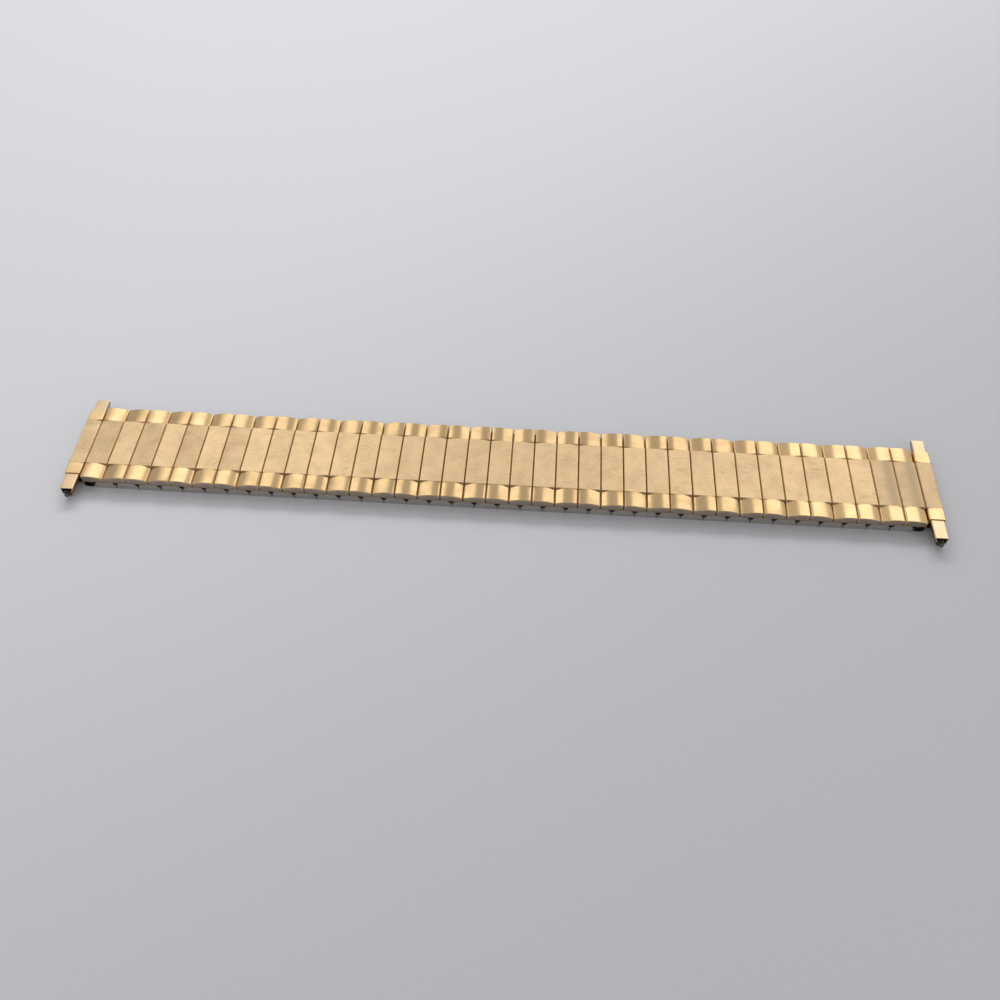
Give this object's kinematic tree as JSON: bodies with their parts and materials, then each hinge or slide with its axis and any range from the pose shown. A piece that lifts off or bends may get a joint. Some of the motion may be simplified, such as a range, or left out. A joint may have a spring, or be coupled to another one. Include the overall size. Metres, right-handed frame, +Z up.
{
  "type": "expansion watch band",
  "caption": "Two-row expansion watch band: gold capped links over staggered steel links on connecting bows, with telescoping spring bar ends at both sides.",
  "frame": {"origin": "centre of the band's footprint on the table, under the middle link", "axes": "+X along the band to the picture's right, +Y across it away from the viewer, +Z up through the gold side"},
  "size_m": [0.1538, 0.0229, 0.003],
  "materials": {
    "gold_plate": "satin centre with polished ends",
    "steel": "brushed",
    "dark_steel": "dull, darkened"
  },
  "bodies": {
    "link_19": {"link_19": "gold_plate"},
    "link_20": {"link_20": "gold_plate"},
    "lower_link_20": {"lower_link_20": "steel"},
    "link_21": {"link_21": "gold_plate"},
    "link_22": {"link_22": "gold_plate"},
    "link_23": {"link_23": "gold_plate"},
    "lower_link_23": {"lower_link_23": "steel"},
    "link_24": {"link_24": "gold_plate"},
    "link_25": {"link_25": "gold_plate"},
    "link_26": {"link_26": "gold_plate"},
    "lower_link_26": {"lower_link_26": "steel"},
    "link_27": {"link_27": "gold_plate"},
    "link_28": {"link_28": "gold_plate"},
    "link_29": {"link_29": "gold_plate"},
    "lower_link_29": {"lower_link_29": "steel"},
    "link_30": {"link_30": "gold_plate"},
    "link_31": {"link_31": "gold_plate"},
    "link_32": {"link_32": "gold_plate"},
    "lower_link_32": {"lower_link_32": "steel"},
    "link_33": {"link_33": "gold_plate"},
    "link_34": {"link_34": "gold_plate"},
    "link_35": {"link_35": "gold_plate"},
    "lower_link_35": {"lower_link_35": "steel"},
    "link_36": {"link_36": "gold_plate"},
    "link_37": {"link_37": "gold_plate"},
    "end_right": {"end_housing_right": "gold_plate", "end_hook_right": "dark_steel", "spring_bar_right": "dark_steel"},
    "slider_right_near": {"slider_right_near": "gold_plate"},
    "slider_right_far": {"slider_right_far": "gold_plate"},
    "link_18": {"link_18": "gold_plate"},
    "lower_link_18": {"lower_link_18": "steel"},
    "link_17": {"link_17": "gold_plate"},
    "link_16": {"link_16": "gold_plate"},
    "link_15": {"link_15": "gold_plate"},
    "lower_link_15": {"lower_link_15": "steel"},
    "link_14": {"link_14": "gold_plate"},
    "link_13": {"link_13": "gold_plate"},
    "link_12": {"link_12": "gold_plate"},
    "lower_link_12": {"lower_link_12": "steel"},
    "link_11": {"link_11": "gold_plate"},
    "link_10": {"link_10": "gold_plate"},
    "link_09": {"link_09": "gold_plate"},
    "lower_link_09": {"lower_link_09": "steel"},
    "link_08": {"link_08": "gold_plate"},
    "link_07": {"link_07": "gold_plate"},
    "link_06": {"link_06": "gold_plate"},
    "lower_link_06": {"lower_link_06": "steel"},
    "link_05": {"link_05": "gold_plate"},
    "link_04": {"link_04": "gold_plate"},
    "link_03": {"link_03": "gold_plate"},
    "lower_link_03": {"lower_link_03": "steel"},
    "link_02": {"link_02": "gold_plate"},
    "link_01": {"link_01": "gold_plate"},
    "end_left": {"end_housing_left": "gold_plate", "end_hook_left": "dark_steel", "spring_bar_left": "dark_steel"},
    "slider_left_near": {"slider_left_near": "gold_plate"},
    "slider_left_far": {"slider_left_far": "gold_plate"}
  },
  "joints": [
    {"name": "stretch", "type": "slide", "parent": "link_19", "child": "link_20", "axis": [1, 0, 0], "range_m": [0, 0.001], "stiffness_N_per_m": 200},
    {"name": "curl", "type": "hinge", "parent": "link_20", "child": "lower_link_20", "pos_m": [0.00462, 0, 0.001], "axis": [0, 1, 0], "range_deg": [-1.5, 20]},
    {"name": "stretch_right_02", "type": "slide", "parent": "lower_link_20", "child": "link_21", "axis": [1, 0, 0], "range_m": [0, 0.001], "stiffness_N_per_m": 200},
    {"name": "stretch_right_03", "type": "slide", "parent": "link_21", "child": "link_22", "axis": [1, 0, 0], "range_m": [0, 0.001], "stiffness_N_per_m": 200},
    {"name": "stretch_right_04", "type": "slide", "parent": "link_22", "child": "link_23", "axis": [1, 0, 0], "range_m": [0, 0.001], "stiffness_N_per_m": 200},
    {"name": "curl_right_04", "type": "hinge", "parent": "link_23", "child": "lower_link_23", "pos_m": [0.01663, 0, 0.001], "axis": [0, 1, 0], "range_deg": [-1.5, 20]},
    {"name": "stretch_right_05", "type": "slide", "parent": "lower_link_23", "child": "link_24", "axis": [1, 0, 0], "range_m": [0, 0.001], "stiffness_N_per_m": 200},
    {"name": "stretch_right_06", "type": "slide", "parent": "link_24", "child": "link_25", "axis": [1, 0, 0], "range_m": [0, 0.001], "stiffness_N_per_m": 200},
    {"name": "stretch_right_07", "type": "slide", "parent": "link_25", "child": "link_26", "axis": [1, 0, 0], "range_m": [0, 0.001], "stiffness_N_per_m": 200},
    {"name": "curl_right_07", "type": "hinge", "parent": "link_26", "child": "lower_link_26", "pos_m": [0.02863, 0, 0.001], "axis": [0, 1, 0], "range_deg": [-1.5, 20]},
    {"name": "stretch_right_08", "type": "slide", "parent": "lower_link_26", "child": "link_27", "axis": [1, 0, 0], "range_m": [0, 0.001], "stiffness_N_per_m": 200},
    {"name": "stretch_right_09", "type": "slide", "parent": "link_27", "child": "link_28", "axis": [1, 0, 0], "range_m": [0, 0.001], "stiffness_N_per_m": 200},
    {"name": "stretch_right_10", "type": "slide", "parent": "link_28", "child": "link_29", "axis": [1, 0, 0], "range_m": [0, 0.001], "stiffness_N_per_m": 200},
    {"name": "curl_right_10", "type": "hinge", "parent": "link_29", "child": "lower_link_29", "pos_m": [0.04063, 0, 0.001], "axis": [0, 1, 0], "range_deg": [-1.5, 20]},
    {"name": "stretch_right_11", "type": "slide", "parent": "lower_link_29", "child": "link_30", "axis": [1, 0, 0], "range_m": [0, 0.001], "stiffness_N_per_m": 200},
    {"name": "stretch_right_12", "type": "slide", "parent": "link_30", "child": "link_31", "axis": [1, 0, 0], "range_m": [0, 0.001], "stiffness_N_per_m": 200},
    {"name": "stretch_right_13", "type": "slide", "parent": "link_31", "child": "link_32", "axis": [1, 0, 0], "range_m": [0, 0.001], "stiffness_N_per_m": 200},
    {"name": "curl_right_13", "type": "hinge", "parent": "link_32", "child": "lower_link_32", "pos_m": [0.05262, 0, 0.001], "axis": [0, 1, 0], "range_deg": [-1.5, 20]},
    {"name": "stretch_right_14", "type": "slide", "parent": "lower_link_32", "child": "link_33", "axis": [1, 0, 0], "range_m": [0, 0.001], "stiffness_N_per_m": 200},
    {"name": "stretch_right_15", "type": "slide", "parent": "link_33", "child": "link_34", "axis": [1, 0, 0], "range_m": [0, 0.001], "stiffness_N_per_m": 200},
    {"name": "stretch_right_16", "type": "slide", "parent": "link_34", "child": "link_35", "axis": [1, 0, 0], "range_m": [0, 0.001], "stiffness_N_per_m": 200},
    {"name": "curl_right_16", "type": "hinge", "parent": "link_35", "child": "lower_link_35", "pos_m": [0.06463, 0, 0.001], "axis": [0, 1, 0], "range_deg": [-1.5, 20]},
    {"name": "stretch_right_17", "type": "slide", "parent": "lower_link_35", "child": "link_36", "axis": [1, 0, 0], "range_m": [0, 0.001], "stiffness_N_per_m": 200},
    {"name": "stretch_right_18", "type": "slide", "parent": "link_36", "child": "link_37", "axis": [1, 0, 0], "range_m": [0, 0.001], "stiffness_N_per_m": 200},
    {"name": "curl_end_right", "type": "hinge", "parent": "link_37", "child": "end_right", "pos_m": [0.07262, 0, 0.001], "axis": [0, 1, 0], "range_deg": [-1.5, 20]},
    {"name": "slider_right_near_slide", "type": "slide", "parent": "end_right", "child": "slider_right_near", "axis": [0, -1, 0], "range_m": [-0.00345, 0.0006]},
    {"name": "slider_right_far_slide", "type": "slide", "parent": "end_right", "child": "slider_right_far", "axis": [0, 1, 0], "range_m": [-0.0026, 0.0006]},
    {"name": "stretch_left_01", "type": "slide", "parent": "link_19", "child": "link_18", "axis": [-1, 0, 0], "range_m": [0, 0.001], "stiffness_N_per_m": 200},
    {"name": "curl_left_01", "type": "hinge", "parent": "link_18", "child": "lower_link_18", "pos_m": [-0.00462, 0, 0.001], "axis": [0, -1, 0], "range_deg": [-1.5, 20]},
    {"name": "stretch_left_02", "type": "slide", "parent": "lower_link_18", "child": "link_17", "axis": [-1, 0, 0], "range_m": [0, 0.001], "stiffness_N_per_m": 200},
    {"name": "stretch_left_03", "type": "slide", "parent": "link_17", "child": "link_16", "axis": [-1, 0, 0], "range_m": [0, 0.001], "stiffness_N_per_m": 200},
    {"name": "stretch_left_04", "type": "slide", "parent": "link_16", "child": "link_15", "axis": [-1, 0, 0], "range_m": [0, 0.001], "stiffness_N_per_m": 200},
    {"name": "curl_left_04", "type": "hinge", "parent": "link_15", "child": "lower_link_15", "pos_m": [-0.01663, 0, 0.001], "axis": [0, -1, 0], "range_deg": [-1.5, 20]},
    {"name": "stretch_left_05", "type": "slide", "parent": "lower_link_15", "child": "link_14", "axis": [-1, 0, 0], "range_m": [0, 0.001], "stiffness_N_per_m": 200},
    {"name": "stretch_left_06", "type": "slide", "parent": "link_14", "child": "link_13", "axis": [-1, 0, 0], "range_m": [0, 0.001], "stiffness_N_per_m": 200},
    {"name": "stretch_left_07", "type": "slide", "parent": "link_13", "child": "link_12", "axis": [-1, 0, 0], "range_m": [0, 0.001], "stiffness_N_per_m": 200},
    {"name": "curl_left_07", "type": "hinge", "parent": "link_12", "child": "lower_link_12", "pos_m": [-0.02863, 0, 0.001], "axis": [0, -1, 0], "range_deg": [-1.5, 20]},
    {"name": "stretch_left_08", "type": "slide", "parent": "lower_link_12", "child": "link_11", "axis": [-1, 0, 0], "range_m": [0, 0.001], "stiffness_N_per_m": 200},
    {"name": "stretch_left_09", "type": "slide", "parent": "link_11", "child": "link_10", "axis": [-1, 0, 0], "range_m": [0, 0.001], "stiffness_N_per_m": 200},
    {"name": "stretch_left_10", "type": "slide", "parent": "link_10", "child": "link_09", "axis": [-1, 0, 0], "range_m": [0, 0.001], "stiffness_N_per_m": 200},
    {"name": "curl_left_10", "type": "hinge", "parent": "link_09", "child": "lower_link_09", "pos_m": [-0.04063, 0, 0.001], "axis": [0, -1, 0], "range_deg": [-1.5, 20]},
    {"name": "stretch_left_11", "type": "slide", "parent": "lower_link_09", "child": "link_08", "axis": [-1, 0, 0], "range_m": [0, 0.001], "stiffness_N_per_m": 200},
    {"name": "stretch_left_12", "type": "slide", "parent": "link_08", "child": "link_07", "axis": [-1, 0, 0], "range_m": [0, 0.001], "stiffness_N_per_m": 200},
    {"name": "stretch_left_13", "type": "slide", "parent": "link_07", "child": "link_06", "axis": [-1, 0, 0], "range_m": [0, 0.001], "stiffness_N_per_m": 200},
    {"name": "curl_left_13", "type": "hinge", "parent": "link_06", "child": "lower_link_06", "pos_m": [-0.05262, 0, 0.001], "axis": [0, -1, 0], "range_deg": [-1.5, 20]},
    {"name": "stretch_left_14", "type": "slide", "parent": "lower_link_06", "child": "link_05", "axis": [-1, 0, 0], "range_m": [0, 0.001], "stiffness_N_per_m": 200},
    {"name": "stretch_left_15", "type": "slide", "parent": "link_05", "child": "link_04", "axis": [-1, 0, 0], "range_m": [0, 0.001], "stiffness_N_per_m": 200},
    {"name": "stretch_left_16", "type": "slide", "parent": "link_04", "child": "link_03", "axis": [-1, 0, 0], "range_m": [0, 0.001], "stiffness_N_per_m": 200},
    {"name": "curl_left_16", "type": "hinge", "parent": "link_03", "child": "lower_link_03", "pos_m": [-0.06463, 0, 0.001], "axis": [0, -1, 0], "range_deg": [-1.5, 20]},
    {"name": "stretch_left_17", "type": "slide", "parent": "lower_link_03", "child": "link_02", "axis": [-1, 0, 0], "range_m": [0, 0.001], "stiffness_N_per_m": 200},
    {"name": "stretch_left_18", "type": "slide", "parent": "link_02", "child": "link_01", "axis": [-1, 0, 0], "range_m": [0, 0.001], "stiffness_N_per_m": 200},
    {"name": "curl_end_left", "type": "hinge", "parent": "link_01", "child": "end_left", "pos_m": [-0.07262, 0, 0.001], "axis": [0, -1, 0], "range_deg": [-1.5, 20]},
    {"name": "slider_left_near_slide", "type": "slide", "parent": "end_left", "child": "slider_left_near", "axis": [0, -1, 0], "range_m": [-0.003, 0.0006]},
    {"name": "slider_left_far_slide", "type": "slide", "parent": "end_left", "child": "slider_left_far", "axis": [0, 1, 0], "range_m": [-0.0023, 0.0006]}
  ],
  "couplings": [
    {"joint": "stretch_right_02", "follows": "stretch", "ratio": 1},
    {"joint": "stretch_right_03", "follows": "stretch", "ratio": 1},
    {"joint": "stretch_right_04", "follows": "stretch", "ratio": 1},
    {"joint": "curl_right_04", "follows": "curl", "ratio": 1},
    {"joint": "stretch_right_05", "follows": "stretch", "ratio": 1},
    {"joint": "stretch_right_06", "follows": "stretch", "ratio": 1},
    {"joint": "stretch_right_07", "follows": "stretch", "ratio": 1},
    {"joint": "curl_right_07", "follows": "curl", "ratio": 1},
    {"joint": "stretch_right_08", "follows": "stretch", "ratio": 1},
    {"joint": "stretch_right_09", "follows": "stretch", "ratio": 1},
    {"joint": "stretch_right_10", "follows": "stretch", "ratio": 1},
    {"joint": "curl_right_10", "follows": "curl", "ratio": 1},
    {"joint": "stretch_right_11", "follows": "stretch", "ratio": 1},
    {"joint": "stretch_right_12", "follows": "stretch", "ratio": 1},
    {"joint": "stretch_right_13", "follows": "stretch", "ratio": 1},
    {"joint": "curl_right_13", "follows": "curl", "ratio": 1},
    {"joint": "stretch_right_14", "follows": "stretch", "ratio": 1},
    {"joint": "stretch_right_15", "follows": "stretch", "ratio": 1},
    {"joint": "stretch_right_16", "follows": "stretch", "ratio": 1},
    {"joint": "curl_right_16", "follows": "curl", "ratio": 1},
    {"joint": "stretch_right_17", "follows": "stretch", "ratio": 1},
    {"joint": "stretch_right_18", "follows": "stretch", "ratio": 1},
    {"joint": "curl_end_right", "follows": "curl", "ratio": 1},
    {"joint": "stretch_left_01", "follows": "stretch", "ratio": 1},
    {"joint": "curl_left_01", "follows": "curl", "ratio": 1},
    {"joint": "stretch_left_02", "follows": "stretch", "ratio": 1},
    {"joint": "stretch_left_03", "follows": "stretch", "ratio": 1},
    {"joint": "stretch_left_04", "follows": "stretch", "ratio": 1},
    {"joint": "curl_left_04", "follows": "curl", "ratio": 1},
    {"joint": "stretch_left_05", "follows": "stretch", "ratio": 1},
    {"joint": "stretch_left_06", "follows": "stretch", "ratio": 1},
    {"joint": "stretch_left_07", "follows": "stretch", "ratio": 1},
    {"joint": "curl_left_07", "follows": "curl", "ratio": 1},
    {"joint": "stretch_left_08", "follows": "stretch", "ratio": 1},
    {"joint": "stretch_left_09", "follows": "stretch", "ratio": 1},
    {"joint": "stretch_left_10", "follows": "stretch", "ratio": 1},
    {"joint": "curl_left_10", "follows": "curl", "ratio": 1},
    {"joint": "stretch_left_11", "follows": "stretch", "ratio": 1},
    {"joint": "stretch_left_12", "follows": "stretch", "ratio": 1},
    {"joint": "stretch_left_13", "follows": "stretch", "ratio": 1},
    {"joint": "curl_left_13", "follows": "curl", "ratio": 1},
    {"joint": "stretch_left_14", "follows": "stretch", "ratio": 1},
    {"joint": "stretch_left_15", "follows": "stretch", "ratio": 1},
    {"joint": "stretch_left_16", "follows": "stretch", "ratio": 1},
    {"joint": "curl_left_16", "follows": "curl", "ratio": 1},
    {"joint": "stretch_left_17", "follows": "stretch", "ratio": 1},
    {"joint": "stretch_left_18", "follows": "stretch", "ratio": 1},
    {"joint": "curl_end_left", "follows": "curl", "ratio": 1}
  ]
}
